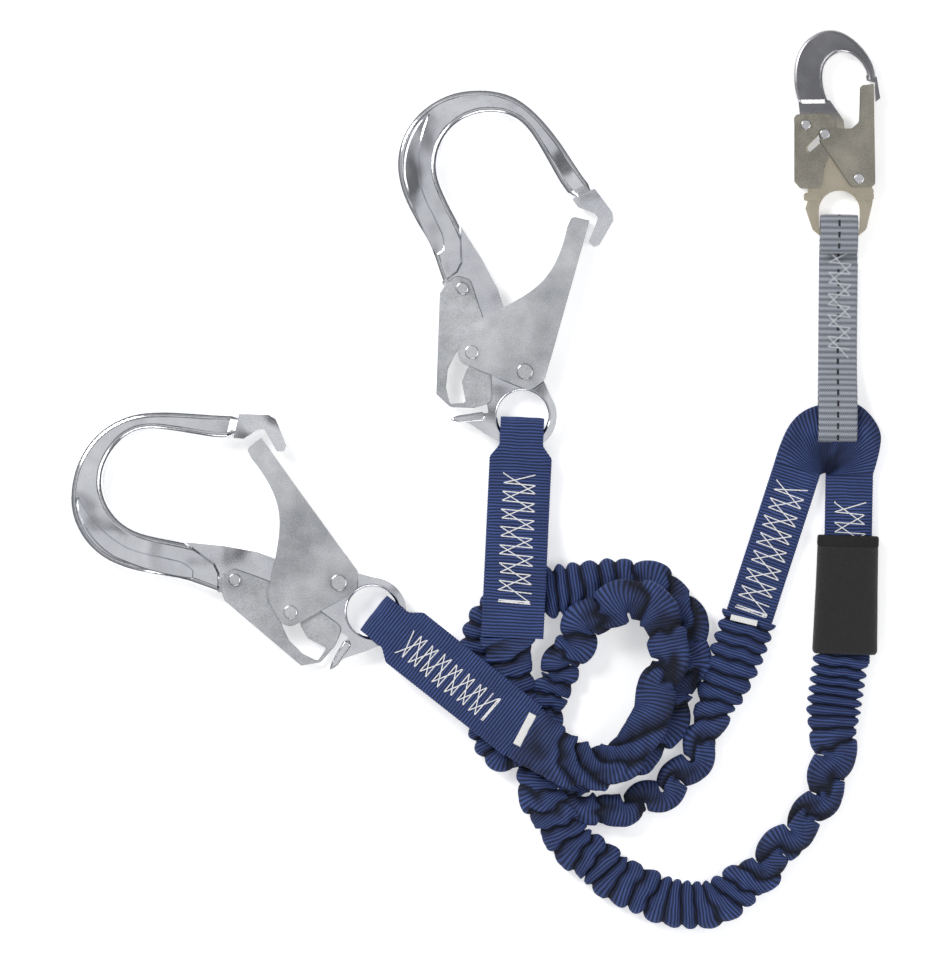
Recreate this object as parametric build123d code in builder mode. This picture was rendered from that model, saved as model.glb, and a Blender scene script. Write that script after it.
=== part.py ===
"""Twin-leg shock absorbing lanyard: two large rebar hooks on elastic tubular legs, joined
by a webbing connector to one locking snap hook, laid out flat on a table.

Millimetres, +Z up, the table at z = 0. The origin is the middle of the metal and webbing
pieces' footprint.
"""
from build123d import *
import math
import os

os.makedirs("parts", exist_ok=True)

# ---------------------------------------------------------------- driving dimensions
origin_x, origin_y = -0.5, 3.4       # footprint centre, in the layout's own coordinates

# Where each hook's eye lies and which way its bow points (degrees from +X).
upper_eye, upper_angle = (30.4, -12.4), 98.1
lower_eye, lower_angle = (-67.3, -139.6), 149.6
snap_eye, snap_angle = (236.3, 120.9), 90.5

# Large rebar hook, in its own plane: the eye is the origin and +Y points to the bow.
hook_mid = 9.6                       # height of the hook's middle plane
bow_thick = 14.0
nose_thick = 9.4
web_thick = 6.0
eye_hole_r = 16.5
eye_outer_r = 22.2
groove_depth = 2.6
groove_taper = 20.0
plate_edge = 0.5                      # broken edge of the pressed plates
bow_rim_r = 4.4
nose_step = 2.2                      # how far the bow slopes down to the nose
lever_inner, lever_outer = 8.0, 11.0
gate_inner, gate_outer = 12.0, 15.6
rivet_span = 2 * hook_mid            # over both heads of the gate's rivets
gate_pivot_at = (5.5, 28.3)
lock_pin_at = (-26.9, 45.6)
lever_pivot_at = (-27.05, 87.6)

# Locking snap hook, in its own plane.
snap_mid = 7.2
snap_bow_thick = 10.0
snap_web_thick = 5.0
snap_lever_inner, snap_lever_outer = 6.4, 8.8
snap_gate_inner, snap_gate_outer = 9.4, 12.0
snap_rivet_span = 2 * snap_mid
snap_gate_pivot_at = (12.8, 20.8)
snap_lock_pin_at = (-9.1, 49.9)
snap_lever_pivot_at = (-21.3, 56.1)

rivet_shaft_r = 3.0
rivet_head_r = 5.4
pin_shaft_r = 2.5
pin_head_r = 4.6
lever_pivot_head_r = 4.2
snap_shaft_r = 2.0
snap_head_r = 3.3
snap_pin_r = 1.6
running_gap = 0.05                   # radial clearance of a rivet in a moving plate
head_gap = 0.1                       # between a rivet's head and a moving plate
horn_thick = 10.0
spring_wire_r = 0.42
spring_pocket_r = 6.2
spring_pocket_depth = 2.6
snap_nose_thick = 8.0
snap_lug_thick = 8.0
snap_pocket_r = 4.6
snap_pocket_depth = 2.2

# Webbing.
eye_strap_width = 40.0
eye_strap_neck = 29.0                # width where the strap is bunched through the eye
eye_turn_at = 15.0                    # from the eye's centre to the axis a hook swings about
snap_turn_at = 16.2                   # the same, for the snap hook
turn_room = 0.12                      # how far the turning room stands past a loop's cavity
eye_loop_at = 10.1                   # from the eye's centre to the middle of the strap's loop
eye_loop_r = 9.5
connector_width = 25.4
connector_loop_at = 8.5              # from the snap hook's eye to the middle of the loop
connector_loop_r = 6.3
connector_cavity_r = 4.4
top_strap_width = 31.0
top_strap_low, top_strap_high = 1.6, 7.6

# Elastic legs: a tubular sheath over a soft core.
leg_d = 16.0
leg_wall = 2.6
core_gap = 0.3
leg_z = leg_d / 2 + 0.05             # a leg lying on the table
over_z = 25.1                        # a leg lying on another leg

# Label cover.
cover_top_width, cover_bottom_width = 39.0, 43.0
cover_length = 72.0
cover_thick = 14.6
cover_wall = 1.2


def at(x, y, z=0.0):
    """A place given in the layout, in the part's own frame."""
    return (x - origin_x, y - origin_y, z)


def flat_plane(centre, heading, height):
    """A horizontal plane whose +Y points along the heading."""
    turn = math.radians(heading - 90)
    return Plane(at(*centre, height), x_dir=(math.cos(turn), math.sin(turn), 0), z_dir=(0, 0, 1))


def side_plane(centre, heading):
    """An upright plane along the heading: local x runs along it and local y is the height."""
    turn = math.radians(heading)
    return Plane(
        at(*centre),
        x_dir=(math.cos(turn), math.sin(turn), 0),
        z_dir=(math.sin(turn), -math.cos(turn), 0),
    )


def save(piece, name):
    """Label a finished piece and write its STEP file."""
    piece.part.label = name
    export_step(piece.part, f"parts/{name}.step")


def edges_at(piece, middle, thickness):
    """The edges that lie flat on either face of a plate, given its middle height."""
    return [
        edge
        for height in (middle - thickness / 2, middle + thickness / 2)
        for edge in piece.edges().filter_by_position(Axis.Z, height - 0.01, height + 0.01)
    ]


def edges_near(piece, spot, plane):
    """The edges on the upper and lower face of a plate that pass nearest a place in its plane."""
    middle = plane.from_local_coords(Vector(*spot, 0))
    flat = [edge for edge in piece.edges() if abs((edge @ 0).Z - (edge @ 1).Z) < 0.01]
    upper = [edge for edge in flat if (edge @ 0).Z > middle.Z + 1]
    lower = [edge for edge in flat if (edge @ 0).Z < middle.Z - 1]
    return [
        min(side, key=lambda edge: (Vector((edge @ 0.5).X, (edge @ 0.5).Y, middle.Z) - middle).length)
        for side in (upper, lower)
    ]


def is_round(edge, radius):
    """Whether an edge is an arc of this radius."""
    return edge.geom_type == GeomType.CIRCLE and abs(edge.radius - radius) < 0.1


def round_corner(sketch, x, y, radius):
    """Round one corner of a sketch, given where it is."""
    fillet(sketch.vertices().sort_by_distance((x, y, 0))[0], radius)


# ---------------------------------------------------------------- rivets and springs
def make_rivet(name, plane, centre, shaft_r, head_r, grip, span):
    """A two-headed rivet: heads rounded over, with a punched dimple in each."""
    head = (span - grip) / 2
    with BuildPart() as rivet:
        with BuildSketch(plane.offset(-span / 2)):
            with Locations(centre):
                Circle(shaft_r)
        extrude(amount=span)
        for start in (-span / 2, grip / 2):
            with BuildSketch(plane.offset(start)):
                with Locations(centre):
                    Circle(head_r)
            extrude(amount=head)
        fillet(edges_at(rivet, plane.origin.Z, span), head * 0.55)
        for face, depth in ((span / 2, -head * 0.4), (-span / 2, head * 0.4)):
            with BuildSketch(plane.offset(face)):
                with Locations(centre):
                    RegularPolygon(head_r * 0.4, 4)
            extrude(amount=depth, mode=Mode.SUBTRACT)
    save(rivet, name)


def make_spring(name, plane, centre, coil_r, low, high):
    """A torsion coil round a rivet, between two heights of the hook's plane."""
    foot = plane.from_local_coords(Vector(centre[0], centre[1], low + spring_wire_r))
    with BuildPart() as spring:
        with BuildLine(Plane(foot)) as coil:
            Helix(2.3 * spring_wire_r, high - low - 2 * spring_wire_r, coil_r)
        with BuildSketch(Plane(coil.line @ 0, z_dir=coil.line % 0)):
            Circle(spring_wire_r)
        sweep(is_frenet=True)
    save(spring, name)


# ---------------------------------------------------------------- large rebar hook
def make_bow(hook):
    """The thick C-shaped forging with rounded rims and a groove down its back limb."""
    with BuildPart() as bow:
        with BuildSketch(hook.offset(-bow_thick / 2)):
            with BuildLine():
                Spline(
                    (-42.3, 106.0), (-46.0, 120.0), (-56.5, 150.0), (-58.2, 174.0), (-47.0, 197.7),
                    (-22.0, 213.0), (4.0, 214.3), (27.0, 204.2), (41.5, 187.5), (67.1, 139.6),
                )
                Line((67.1, 139.6), (51.7, 134.9))
                Spline(
                    (51.7, 134.9), (32.5, 177.0), (22.0, 191.8), (0.0, 197.9), (-20.5, 190.0),
                    (-31.9, 167.0), (-28.3, 146.0), (-22.3, 128.0),
                )
                Polyline((-22.3, 128.0), (-24.7, 103.9), (-28.6, 98.2), (-39.6, 92.0), (-42.3, 106.0))
            make_face()
        extrude(amount=bow_thick)
        fillet([rim for rim in edges_at(bow, hook_mid, bow_thick) if rim.length > 60], bow_rim_r)
        # The bow slopes down to the nose, and its edge over the shank's web is broken.
        chamfer(edges_near(bow, (59.4, 137.2), hook), nose_step, 4.6)
        for spot in ((-23.5, 116.0), (-26.6, 101.0), (-34.1, 95.1)):
            chamfer(edges_near(bow, spot, hook), 1.3)
        for face, depth in ((bow_thick / 2, -groove_depth), (-bow_thick / 2, groove_depth)):
            with BuildSketch(hook.offset(face)):
                with BuildLine():
                    ThreePointArc((-32.0, 202.0), (-41.6, 181.0), (-44.2, 158.0))
                    ThreePointArc((-44.2, 158.0), (-42.3, 148.6), (-38.8, 138.0))
                    Line((-38.8, 138.0), (-34.8, 125.0))
                    ThreePointArc((-34.8, 125.0), (-34.3, 119.0), (-35.5, 113.4))
                    Line((-35.5, 113.4), (-40.6, 111.0))
                    ThreePointArc((-40.6, 111.0), (-50.6, 140.6), (-54.2, 163.0))
                    ThreePointArc((-54.2, 163.0), (-48.0, 187.0), (-34.0, 203.2))
                    Line((-34.0, 203.2), (-32.0, 202.0))
                make_face()
            extrude(amount=depth, taper=groove_taper, mode=Mode.SUBTRACT)
    return bow.part


def make_hook_body(name, hook):
    """Eye ring, thin shank web, guard horn, thick bow and nose: one forging."""
    with BuildPart() as body:
        add(make_bow(hook))
        # Nose: a hooked block that the gate shuts against.
        with BuildSketch(hook.offset(-nose_thick / 2)) as nose:
            Polygon(
                (51.7, 134.9), (67.1, 139.6), (76.3, 122.8), (76.3, 117.4), (64.9, 102.8),
                (61.0, 102.2), (58.4, 106.0), (66.7, 120.3), (64.8, 123.7), (54.7, 129.0),
                align=None,
            )
            fillet(nose.vertices().sort_by(Axis.Y)[0:5], 1.2)
        extrude(amount=nose_thick)
        # Eye ring, shank web and the root of the horn.
        with BuildSketch(hook.offset(-web_thick / 2)):
            Circle(eye_outer_r)
            Polygon(
                (-39.6, 92.0), (-36.0, 88.0), (-35.0, 76.0), (-29.0, 60.0), (-22.5, 50.5),
                (-21.5, 44.0), (-21.8, 30.0), (-21.8, 4.0), (20.8, 7.0), (15.0, 27.0), (6.0, 52.0),
                (-2.2, 72.0), (-4.3, 84.0), (-12.1, 105.2), (-24.0, 131.0), (-40.0, 108.0),
                align=None,
            )
            Polygon((-21.5, 5.4), (-44.0, 4.4), (-34.9, 0.0), (-24.3, -9.3), (-15.0, -16.4), align=None)
            Circle(eye_hole_r, mode=Mode.SUBTRACT)
            for centre in (gate_pivot_at, lever_pivot_at):
                with Locations(centre):
                    Circle(rivet_shaft_r, mode=Mode.SUBTRACT)
        extrude(amount=web_thick)
        fillet([edge for edge in edges_at(body, hook_mid, web_thick) if is_round(edge, eye_hole_r)], 1.8)
        # Horn: a thick guard lip under the lock lever's foot.
        with BuildSketch(hook.offset(-horn_thick / 2)) as horn:
            Polygon(
                (-48.8, 4.6), (-41.0, 1.4), (-25.5, 0.6), (-23.4, 3.4), (-25.5, 6.3), (-41.0, 6.4),
                align=None,
            )
            fillet(horn.vertices(), 1.0)
        extrude(amount=horn_thick)
        fillet(edges_at(body, hook_mid, horn_thick), 1.4)
        # Pocket for the lever's spring, in the web's upper face.
        with BuildSketch(hook.offset(web_thick / 2)):
            with Locations(lever_pivot_at):
                Circle(spring_pocket_r)
                Circle(rivet_shaft_r, mode=Mode.SUBTRACT)
        extrude(amount=-spring_pocket_depth, mode=Mode.SUBTRACT)
    save(body, name)


def make_gate(name, hook):
    """A folded plate channel that straddles the web, with its spine along the outer edge."""
    with BuildPart() as gate:
        for low in (-gate_outer / 2, gate_inner / 2):
            with BuildSketch(hook.offset(low)) as side:
                with BuildLine():
                    Spline((46.0, 117.5), (39.3, 102.5), (27.0, 86.5), (8.0, 75.5), (-13.0, 68.3))
                    Polyline(
                        (-13.0, 68.3), (-27.5, 62.5), (-38.5, 42.3), (7.0, 15.4), (17.5, 21.0),
                        (60.9, 119.4), (50.0, 123.8), (46.0, 117.5),
                    )
                make_face()
                for x, y, radius in (
                    (-27.5, 62.5, 14.0), (-38.5, 42.3, 7.5), (7.0, 15.4, 7.0), (17.5, 21.0, 5.0),
                    (50.0, 123.8, 3.0),
                ):
                    round_corner(side, x, y, radius)
                with Locations(gate_pivot_at):
                    Circle(rivet_shaft_r + running_gap, mode=Mode.SUBTRACT)
                with Locations(lock_pin_at):
                    Circle(pin_shaft_r, mode=Mode.SUBTRACT)
            extrude(amount=(gate_outer - gate_inner) / 2)
        with BuildSketch(hook.offset(-gate_outer / 2)):
            Polygon((60.9, 119.4), (59.0, 120.2), (21.2, 34.4), (23.1, 33.6), align=None)
        extrude(amount=gate_outer)
    save(gate, name)


def make_lock_lever(name, hook):
    """A channel inside the gate, pivoted on the shank, with a slot for the gate's lock pin."""
    with BuildPart() as lever:
        for low in (-lever_outer / 2, lever_inner / 2):
            with BuildSketch(hook.offset(low)) as side:
                Polygon(
                    (-42.1, 86.5), (-36.5, 93.0), (-29.1, 96.4), (-21.0, 92.5), (-16.2, 66.3),
                    (-15.3, 40.0), (-18.0, 11.5), (-30.5, 9.6), (-45.5, 12.3), (-53.5, 22.0),
                    align=None,
                )
                for x, y, radius in (
                    (-36.5, 93.0, 4.0), (-29.1, 96.4, 5.0), (-21.0, 92.5, 5.0), (-18.0, 11.5, 5.0),
                    (-45.5, 12.3, 5.0),
                ):
                    round_corner(side, x, y, radius)
                with BuildSketch(mode=Mode.SUBTRACT) as window:
                    Polygon(
                        (-33.0, 51.0), (-38.5, 45.0), (-43.8, 37.0), (-46.6, 25.5), (-45.6, 14.6),
                        (-35.2, 13.6), (-36.0, 27.4), (-32.0, 34.8), (-22.9, 42.8), (-23.3, 48.6),
                        (-27.4, 50.4),
                        align=None,
                    )
                    fillet(window.vertices(), 1.6)
                with Locations(lever_pivot_at):
                    Circle(rivet_shaft_r + running_gap, mode=Mode.SUBTRACT)
            extrude(amount=(lever_outer - lever_inner) / 2)
        with BuildSketch(hook.offset(-lever_outer / 2)):
            Polygon((-42.1, 86.5), (-40.6, 86.3), (-51.9, 23.0), (-53.5, 22.0), align=None)
        extrude(amount=lever_outer)
        for face in (lever.faces().sort_by(Axis.Z)[-1], lever.faces().sort_by(Axis.Z)[0]):
            chamfer(face.outer_wire().edges(), plate_edge)
    save(lever, name)


def make_rebar_hook(side, eye, heading):
    """Every piece of one large hook, in place."""
    hook = flat_plane(eye, heading, hook_mid)
    make_hook_body(f"{side}_hook_body", hook)
    make_gate(f"{side}_hook_gate", hook)
    make_lock_lever(f"{side}_hook_lock_lever", hook)
    make_rivet(
        f"{side}_hook_gate_pivot", hook, gate_pivot_at, rivet_shaft_r, rivet_head_r,
        gate_outer + 2 * head_gap, rivet_span,
    )
    make_rivet(
        f"{side}_hook_lever_pivot", hook, lever_pivot_at, rivet_shaft_r, lever_pivot_head_r,
        lever_outer + 2 * head_gap, lever_outer + 4.2,
    )
    make_rivet(
        f"{side}_hook_lock_pin", hook, lock_pin_at, pin_shaft_r, pin_head_r, gate_outer, rivet_span - 0.4,
    )
    make_spring(
        f"{side}_hook_gate_spring", hook, gate_pivot_at, 6.0, web_thick / 2 + 0.2, gate_inner / 2 - 0.2,
    )
    make_spring(
        f"{side}_hook_lever_spring", hook, lever_pivot_at, 4.6, web_thick / 2 - spring_pocket_depth + 0.2,
        lever_inner / 2 - 0.2,
    )


# ---------------------------------------------------------------- locking snap hook
def make_snap_body(name, hook):
    """A dark C bow on a flat shank that ends in an eye with a straight foot."""
    with BuildPart() as body:
        with BuildSketch(hook.offset(-snap_bow_thick / 2)):
            with BuildLine():
                Spline(
                    (-26.0, 70.0), (-29.1, 91.4), (-22.0, 110.0), (-5.3, 118.1), (12.0, 110.5),
                    (24.7, 86.6),
                )
                Line((24.7, 86.6), (18.5, 84.7))
                Spline(
                    (18.5, 84.7), (12.8, 98.1), (2.3, 102.8), (-7.2, 97.0), (-9.8, 87.0), (-5.5, 70.0),
                )
                Line((-5.5, 70.0), (-26.0, 70.0))
            make_face()
        extrude(amount=snap_bow_thick)
        fillet([rim for rim in edges_at(body, snap_mid, snap_bow_thick) if rim.length > 40], 2.8)
        chamfer(edges_near(body, (-15.7, 70.0), hook), 1.6, 2.4)
        with BuildSketch(hook.offset(-snap_nose_thick / 2)):
            Polygon(
                (24.9, 87.0), (27.2, 73.0), (24.5, 71.0), (23.9, 83.4), (18.5, 84.7), (18.0, 88.0),
                align=None,
            )
        extrude(amount=snap_nose_thick)
        with BuildSketch(hook.offset(-snap_web_thick / 2)) as web:
            Polygon(
                (-26.0, 72.0), (-25.2, 64.0), (-20.0, 30.0), (-20.5, 6.5), (-22.0, 2.0),
                (-17.5, -12.0), (-9.0, -19.0), (9.0, -19.0), (17.5, -12.0), (21.5, 4.6), (22.5, 13.0),
                (13.6, 30.0), (8.5, 48.0), (3.8, 54.2), (3.3, 59.0), (-5.5, 72.0),
                align=None,
            )
            fillet(web.vertices().sort_by(Axis.Y)[0:4], 4.0)
            with BuildSketch(mode=Mode.SUBTRACT):
                Circle(13.3)
                with BuildSketch() as foot:
                    with Locations((0, -6.65)):
                        Rectangle(26.6, 13.3)
                    fillet(foot.vertices().sort_by(Axis.Y)[0:2], 3.0)
            for centre in (snap_gate_pivot_at, snap_lever_pivot_at):
                with Locations(centre):
                    Circle(snap_shaft_r, mode=Mode.SUBTRACT)
            # Room for the lock pin to swing with the gate.
            with Locations(Location((-13.5, 45.5), 45.6)):
                SlotCenterToCenter(12.6, 4.8, mode=Mode.SUBTRACT)
        extrude(amount=snap_web_thick)
        # Two guard lugs beside the eye.
        for x, width in ((-17.5, 11.0), (16.4, 12.0)):
            with BuildSketch(hook.offset(-snap_lug_thick / 2)) as lug:
                with Locations((x, 9.4)):
                    RectangleRounded(width, 5.2, 1.5)
            extrude(amount=snap_lug_thick)
        # Pocket for the lever's spring.
        with BuildSketch(hook.offset(snap_web_thick / 2)):
            with Locations(snap_lever_pivot_at):
                Circle(snap_pocket_r)
                Circle(snap_shaft_r, mode=Mode.SUBTRACT)
        extrude(amount=-snap_pocket_depth, mode=Mode.SUBTRACT)
    save(body, name)


def make_snap_gate(name, hook):
    """The snap hook's gate: two plates and a spine up the nose side."""
    with BuildPart() as gate:
        for low in (-snap_gate_outer / 2, snap_gate_inner / 2):
            with BuildSketch(hook.offset(low)) as side:
                Polygon(
                    (14.7, 81.4), (22.9, 82.2), (23.4, 15.6), (8.0, 15.6), (-13.5, 47.5), (-4.5, 53.6),
                    (8.1, 53.4), (13.8, 58.0),
                    align=None,
                )
                for x, y, radius in (
                    (-13.5, 47.5, 3.6), (-4.5, 53.6, 2.5), (8.0, 15.6, 3.0), (23.4, 15.6, 3.0),
                    (14.7, 81.4, 1.5), (8.1, 53.4, 3.0), (13.8, 58.0, 4.0),
                ):
                    round_corner(side, x, y, radius)
                with Locations(snap_gate_pivot_at):
                    Circle(snap_shaft_r + running_gap, mode=Mode.SUBTRACT)
                with Locations(snap_lock_pin_at):
                    Circle(snap_pin_r, mode=Mode.SUBTRACT)
            extrude(amount=(snap_gate_outer - snap_gate_inner) / 2)
        with BuildSketch(hook.offset(-snap_gate_outer / 2)):
            Polygon((21.5, 82.0), (22.9, 82.2), (23.3, 30.0), (21.9, 30.0), align=None)
        extrude(amount=snap_gate_outer)
    save(gate, name)


def make_snap_lever(name, hook):
    """The snap hook's lock lever: two plates joined by a spine down the back."""
    with BuildPart() as lever:
        for low in (-snap_lever_outer / 2, snap_lever_inner / 2):
            with BuildSketch(hook.offset(low)) as side:
                Polygon(
                    (-28.6, 63.0), (-3.0, 63.4), (-0.2, 50.0), (-9.6, 27.5), (-11.1, 15.1),
                    (-25.0, 15.1), (-29.0, 20.0),
                    align=None,
                )
                for x, y, radius in (
                    (-28.6, 63.0, 2.5), (-3.0, 63.4, 9.0), (-11.1, 15.1, 3.0), (-25.0, 15.1, 2.5),
                ):
                    round_corner(side, x, y, radius)
                with Locations(Location((-14.5, 45.15), 41.3)):
                    SlotCenterToCenter(14.4, 4.6, mode=Mode.SUBTRACT)
                with Locations(snap_lever_pivot_at):
                    Circle(snap_shaft_r + running_gap, mode=Mode.SUBTRACT)
            extrude(amount=(snap_lever_outer - snap_lever_inner) / 2)
        with BuildSketch(hook.offset(-snap_lever_outer / 2)):
            Polygon((-28.6, 58.5), (-27.4, 58.5), (-27.7, 20.0), (-29.0, 20.0), align=None)
        extrude(amount=snap_lever_outer)
    save(lever, name)


def make_snap_hook():
    """Every piece of the snap hook, in place."""
    hook = flat_plane(snap_eye, snap_angle, snap_mid)
    make_snap_body("snap_hook_body", hook)
    make_snap_gate("snap_hook_gate", hook)
    make_snap_lever("snap_hook_lock_lever", hook)
    make_rivet(
        "snap_hook_gate_pivot", hook, snap_gate_pivot_at, snap_shaft_r, snap_head_r,
        snap_gate_outer + 2 * head_gap, snap_rivet_span,
    )
    make_rivet(
        "snap_hook_lever_pivot", hook, snap_lever_pivot_at, snap_shaft_r, snap_head_r,
        snap_lever_outer + 2 * head_gap, snap_lever_outer + 3.0,
    )
    make_rivet(
        "snap_hook_lock_pin", hook, snap_lock_pin_at, snap_pin_r, snap_head_r, snap_gate_outer,
        snap_rivet_span - 0.2,
    )
    make_spring(
        "snap_hook_gate_spring", hook, snap_gate_pivot_at, 3.6, snap_web_thick / 2 + 0.1,
        snap_gate_inner / 2 - 0.1,
    )
    make_spring(
        "snap_hook_lever_spring", hook, snap_lever_pivot_at, 3.0,
        snap_web_thick / 2 - snap_pocket_depth + 0.1, snap_lever_inner / 2 - 0.1,
    )


# ---------------------------------------------------------------- webbing
def make_eye_strap(name, eye, heading, underside, top, slot):
    """A wide strap looped through a hook's eye: its side view, drawn out to its width.

    Each list holds (distance from the eye, height): the strap's underside and top past the
    loop, and the slot between its layers, from below to above.
    """
    loop_r, cavity_r, loop_at = eye_loop_r, eye_loop_r - 1.7, eye_loop_at
    with BuildPart() as strap:
        with BuildSketch(side_plane(eye, heading)):
            with BuildLine():
                loop = ThreePointArc(
                    (loop_at, hook_mid + loop_r), (loop_at - loop_r, hook_mid),
                    (loop_at, hook_mid - loop_r),
                )
                Polyline(loop @ 1, *underside, *reversed(top), loop @ 0)
            make_face()
            with BuildSketch(mode=Mode.SUBTRACT):
                with BuildLine():
                    inside = ThreePointArc(
                        (loop_at, hook_mid + cavity_r), (loop_at - cavity_r, hook_mid),
                        (loop_at, hook_mid - cavity_r),
                    )
                    Polyline(inside @ 1, *slot, inside @ 0)
                make_face()
                # Room for the eye ring to turn.
                with Locations((eye_turn_at, hook_mid)):
                    Circle(cavity_r + turn_room)
        extrude(amount=eye_strap_width / 2, both=True)
        # The loop is bunched to the eye's width.
        with BuildSketch(flat_plane(eye, heading, -1)):
            for side in (-1, 1):
                Polygon(
                    (side * eye_strap_neck / 2, 0), (side * eye_strap_neck / 2, 18.8),
                    (side * (eye_strap_width / 2 + 1), 27), (side * (eye_strap_width / 2 + 1), 0),
                    align=None,
                )
        extrude(amount=60, mode=Mode.SUBTRACT)
    save(strap, name)


def half_circle(middle, height, radius):
    """Three points over the near side of a loop, seen from the side."""
    return (middle, height + radius), (middle - radius, height), (middle, height - radius)


def make_connector():
    """The narrow connector strap: a loop in the snap hook's eye and one round the legs' bight."""
    with BuildPart() as connector:
        with BuildSketch(side_plane(snap_eye, snap_angle + 179)):
            with BuildLine():
                near = ThreePointArc(*half_circle(connector_loop_at, snap_mid, connector_loop_r))
                far = ThreePointArc((143.0, 1.6), (151.4, 9.3), (143.0, 17.0))
                Polyline(near @ 1, (17.0, 0.9), (32.0, 0.1), (106.0, 0.1), (121.0, 1.4), far @ 0)
                Polyline(far @ 1, (121.0, 17.0), (102.0, 5.8), (34.0, 5.8), (17.4, 13.5), near @ 0)
            make_face()
            with BuildSketch(mode=Mode.SUBTRACT):
                with BuildLine():
                    eye = ThreePointArc(*half_circle(connector_loop_at, snap_mid, connector_cavity_r))
                    Polyline(eye @ 1, (17.4, 2.8), (33.0, 2.4), (16.6, 11.6), eye @ 0)
                make_face()
                with Locations((snap_turn_at, snap_mid)):
                    Circle(connector_cavity_r + 3 * turn_room)
                with BuildLine():
                    bight = ThreePointArc((143.0, 3.5), (149.5, 9.3), (143.0, 15.1))
                    Polyline(bight @ 1, (121.0, 15.1), (103.0, 3.4), (121.0, 3.2), bight @ 0)
                make_face()
        extrude(amount=connector_width / 2, both=True)
        # The eye loop is a little narrower than the eye's foot.
        with BuildSketch(flat_plane(snap_eye, snap_angle + 179, -1)):
            for side in (-1, 1):
                with Locations((side * (12.4 + 1), 12)):
                    Rectangle(2, 24)
        extrude(amount=60, mode=Mode.SUBTRACT)
    save(connector, "connector_strap")


def make_top_strap(name, top, bottom):
    """The flat, sewn head of one leg."""
    with BuildPart() as strap:
        heading = math.degrees(math.atan2(bottom[1] - top[1], bottom[0] - top[0]))
        length = math.dist(top, bottom)
        with BuildSketch(flat_plane(top, heading, top_strap_low)):
            with Locations((0, length / 2)):
                Rectangle(top_strap_width, length)
        extrude(amount=top_strap_high - top_strap_low)
    save(strap, name)


def make_bight():
    """The gathered webbing where both legs' heads pass through the connector's lower loop."""
    with BuildPart() as bight:
        with BuildSketch(Plane(at(0, 0, 4.5))):
            Polygon(
                (196.2, -37.2), (199.0, -20.0), (210.0, -6.0), (228.0, -2.5), (250.0, -3.0),
                (262.0, -14.0), (262.5, -30.0), (258.6, -48.2), (228.2, -48.2), (229.0, -33.0),
                (250.0, -32.4), (250.0, -23.2), (221.4, -23.2), (221.4, -38.0), (224.6, -46.4),
                align=None,
            )
        extrude(amount=9.6)
    save(bight, "legs_bight")


def make_label_cover(top, heading):
    """A sleeve over the right leg's head, its binding tape, and the folded labels inside."""
    plane = flat_plane(top, heading, 0)
    with BuildPart() as cover:
        for inset, low, high, mode in (
            (0, 0, cover_thick, Mode.ADD),
            (cover_wall, cover_wall, cover_thick - cover_wall, Mode.SUBTRACT),
        ):
            with BuildSketch(plane.offset(low)):
                Polygon(
                    (-cover_top_width / 2 + inset, -inset), (cover_top_width / 2 - inset, -inset),
                    (cover_bottom_width / 2 - inset, cover_length + inset),
                    (-cover_bottom_width / 2 + inset, cover_length + inset),
                    align=None,
                )
            extrude(amount=high - low, mode=mode)
    save(cover, "label_cover")
    with BuildPart() as binding:
        with BuildSketch(plane):
            with Locations((0, -3.2)):
                Rectangle(cover_top_width, 6.0)
        extrude(amount=cover_thick)
        with BuildSketch(plane.offset(cover_wall)):
            with Locations((0, -3.2)):
                Rectangle(cover_top_width - 2 * cover_wall, 8.0)
        extrude(amount=cover_thick - 2 * cover_wall, mode=Mode.SUBTRACT)
    save(binding, "label_cover_binding")
    with BuildPart() as labels:
        with BuildSketch(plane.offset(top_strap_high + 0.3)):
            with Locations((0, cover_length / 2)):
                Rectangle(33, 66)
        extrude(amount=4.6)
    save(labels, "label_pack")


# ---------------------------------------------------------------- elastic legs
def corner_radii(points):
    """The largest arc each corner allows: 0.45 of its shorter run over the half turn's tangent."""
    radii = []
    for before, corner, after in zip(points, points[1:], points[2:]):
        arriving = Vector(*corner) - Vector(*before)
        leaving = Vector(*after) - Vector(*corner)
        half_turn = math.radians(arriving.get_angle(leaving) / 2)
        radii.append(0.45 * min(arriving.length, leaving.length) / math.tan(half_turn))
    return radii


def make_leg(side, route):
    """A tubular sheath and the white core inside it, along one route."""
    points = [at(*point) for point in route]
    radii = corner_radii(points)
    print(side, "leg radii", [round(radius, 1) for radius in radii])
    core_r = leg_d / 2 - leg_wall - core_gap
    for kind, outer, inner in (("sheath", leg_d / 2, leg_d / 2 - leg_wall), ("core", core_r, 0)):
        with BuildPart() as leg:
            with BuildLine() as path:
                FilletPolyline(*points, radius=radii)
            with BuildSketch(Plane(path.line @ 0, z_dir=path.line % 0)):
                Circle(outer)
                if inner:
                    Circle(inner, mode=Mode.SUBTRACT)
            sweep()
        section = math.pi * (outer**2 - inner**2)
        length = sum(edge.length for edge in path.edges())
        print(side, kind, "length", round(length), "volume over section", round(leg.part.volume / section))
        save(leg, f"{side}_leg_{kind}")


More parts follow.
